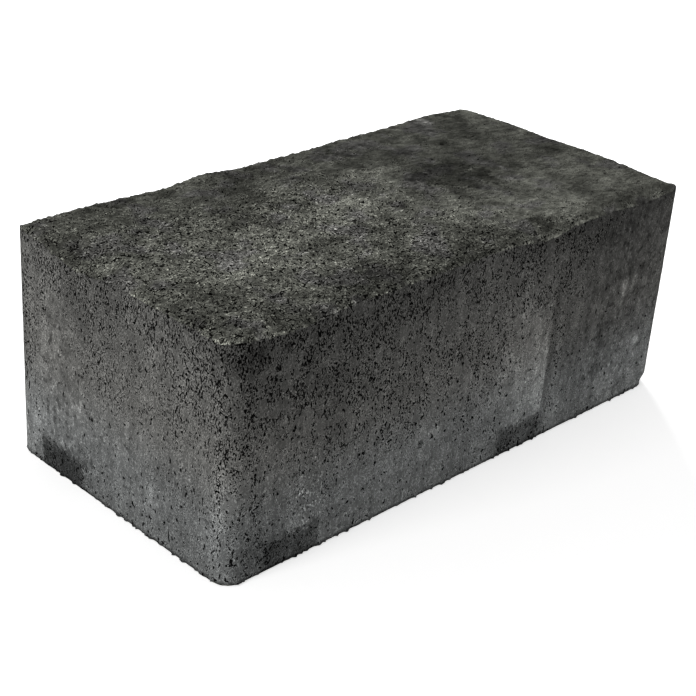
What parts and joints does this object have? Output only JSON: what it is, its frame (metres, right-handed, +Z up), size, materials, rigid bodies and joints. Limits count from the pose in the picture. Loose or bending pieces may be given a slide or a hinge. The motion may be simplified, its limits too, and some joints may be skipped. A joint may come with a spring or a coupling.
{
  "type": "concrete paving stone",
  "caption": "Rectangular dark grey concrete paving block with rounded upright corners, a rough top with a worn wavy edge and low spacer ribs on its sides, for laying roads and paths",
  "frame": {"origin": "centre of the bed, the flat underside that the stone lies on", "axes": "+X along the length, +Y across the width, +Z up through the top"},
  "size_m": [0.211, 0.106, 0.08],
  "materials": {
    "concrete": "rough cast concrete, porous and matt"
  },
  "bodies": {
    "root": {"paving_stone": "concrete"}
  },
  "joints": []
}
